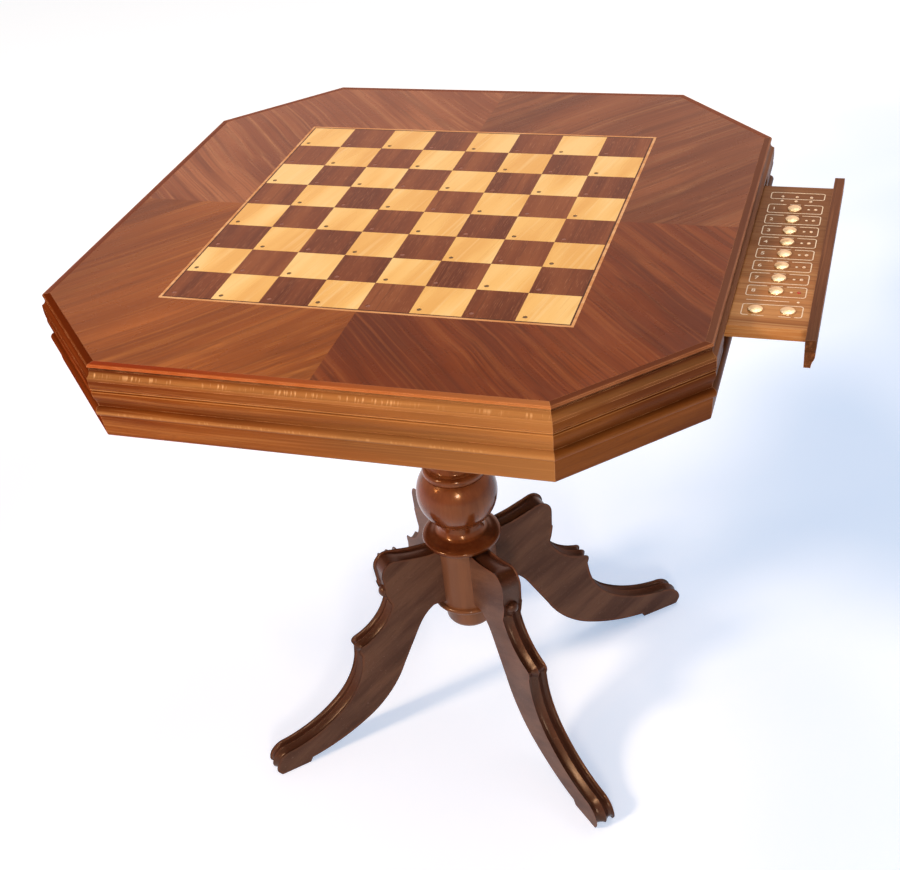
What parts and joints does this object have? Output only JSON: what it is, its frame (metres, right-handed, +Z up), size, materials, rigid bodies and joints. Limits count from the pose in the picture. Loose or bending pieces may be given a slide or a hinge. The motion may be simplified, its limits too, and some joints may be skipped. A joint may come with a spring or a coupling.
{
  "type": "chess table",
  "caption": "Octagonal chess table with an inlaid board, lamps in the squares and a sliding control drawer, on a turned pedestal with sawn legs",
  "frame": {"origin": "centre of the board on the playing surface", "axes": "+Z up, +X towards the side that the drawer opens from, +Y along the board files"},
  "size_m": [0.7529, 0.6738, 0.688],
  "materials": {
    "veneer": "figured walnut veneer, polished",
    "edge_walnut": "walnut, polished",
    "moulding_walnut": "walnut, polished",
    "leg_walnut": "dark stained timber, semi-gloss",
    "column_walnut": "dark stained timber, gloss",
    "dark_inlay": "walnut veneer, polished",
    "light_inlay": "maple veneer, polished",
    "drawer_wood": "golden brown timber, satin",
    "lamp_lens": "clear red lamp lens",
    "circuit_board": "green circuit board",
    "black_plastic": "black moulded plastic",
    "steel": "plated steel",
    "brass": "pale polished brass",
    "plain_timber": "unfinished timber and board"
  },
  "bodies": {
    "table": {"apron_back": "moulding_walnut", "apron_back_left": "moulding_walnut", "apron_back_right": "moulding_walnut", "apron_front": "moulding_walnut", "apron_front_left": "moulding_walnut", "apron_front_right": "moulding_walnut", "apron_left": "moulding_walnut", "apron_right": "moulding_walnut", "bearers": "plain_timber", "bottom_panel": "plain_timber", "column": "column_walnut", "column_block": "plain_timber", "dark_line": "dark_inlay", "dark_squares": "dark_inlay", "drawer_runners": "plain_timber", "frame_screws": "steel", "leg_back_left": "leg_walnut", "leg_back_right": "leg_walnut", "leg_dowels": "plain_timber", "leg_front_left": "leg_walnut", "leg_front_right": "leg_walnut", "light_line": "light_inlay", "light_squares": "light_inlay", "lipping_back": "edge_walnut", "lipping_back_left": "edge_walnut", "lipping_back_right": "edge_walnut", "lipping_front": "edge_walnut", "lipping_front_left": "edge_walnut", "lipping_front_right": "edge_walnut", "lipping_left": "edge_walnut", "lipping_right": "edge_walnut", "panel_cleats": "plain_timber", "power_socket": "black_plastic", "sensor_board": "circuit_board", "square_lamps": "lamp_lens", "stop_rail": "plain_timber", "top_core": "plain_timber", "veneer_back_left": "veneer", "veneer_back_right": "veneer", "veneer_front_left": "veneer", "veneer_front_right": "veneer"},
    "drawer": {"drawer_front": "moulding_walnut", "front_screws": "steel", "drawer_panel": "drawer_wood", "drawer_frame": "drawer_wood", "drawer_bottom": "drawer_wood", "stop_pegs": "steel", "control_board": "circuit_board", "key_switches": "black_plastic", "drawer_lamps": "lamp_lens"},
    "key_1": {"key_1": "brass"},
    "key_2": {"key_2": "brass"},
    "key_3": {"key_3": "brass"},
    "key_4": {"key_4": "brass"},
    "key_5": {"key_5": "brass"},
    "key_6": {"key_6": "brass"},
    "key_7": {"key_7": "brass"},
    "key_8": {"key_8": "brass"},
    "key_9": {"key_9": "brass"},
    "key_10": {"key_10": "brass"}
  },
  "joints": [
    {"name": "drawer_slide", "type": "slide", "parent": "table", "child": "drawer", "axis": [1, 0, 0], "range_m": [-0.08, 0]},
    {"name": "key_1_press", "type": "slide", "parent": "drawer", "child": "key_1", "axis": [0, 0, -1], "range_m": [0, 0.001], "stiffness_N_per_m": 300, "springref_m": -0.001},
    {"name": "key_2_press", "type": "slide", "parent": "drawer", "child": "key_2", "axis": [0, 0, -1], "range_m": [0, 0.001], "stiffness_N_per_m": 300, "springref_m": -0.001},
    {"name": "key_3_press", "type": "slide", "parent": "drawer", "child": "key_3", "axis": [0, 0, -1], "range_m": [0, 0.001], "stiffness_N_per_m": 300, "springref_m": -0.001},
    {"name": "key_4_press", "type": "slide", "parent": "drawer", "child": "key_4", "axis": [0, 0, -1], "range_m": [0, 0.001], "stiffness_N_per_m": 300, "springref_m": -0.001},
    {"name": "key_5_press", "type": "slide", "parent": "drawer", "child": "key_5", "axis": [0, 0, -1], "range_m": [0, 0.001], "stiffness_N_per_m": 300, "springref_m": -0.001},
    {"name": "key_6_press", "type": "slide", "parent": "drawer", "child": "key_6", "axis": [0, 0, -1], "range_m": [0, 0.001], "stiffness_N_per_m": 300, "springref_m": -0.001},
    {"name": "key_7_press", "type": "slide", "parent": "drawer", "child": "key_7", "axis": [0, 0, -1], "range_m": [0, 0.001], "stiffness_N_per_m": 300, "springref_m": -0.001},
    {"name": "key_8_press", "type": "slide", "parent": "drawer", "child": "key_8", "axis": [0, 0, -1], "range_m": [0, 0.001], "stiffness_N_per_m": 300, "springref_m": -0.001},
    {"name": "key_9_press", "type": "slide", "parent": "drawer", "child": "key_9", "axis": [0, 0, -1], "range_m": [0, 0.001], "stiffness_N_per_m": 300, "springref_m": -0.001},
    {"name": "key_10_press", "type": "slide", "parent": "drawer", "child": "key_10", "axis": [0, 0, -1], "range_m": [0, 0.001], "stiffness_N_per_m": 300, "springref_m": -0.001}
  ]
}
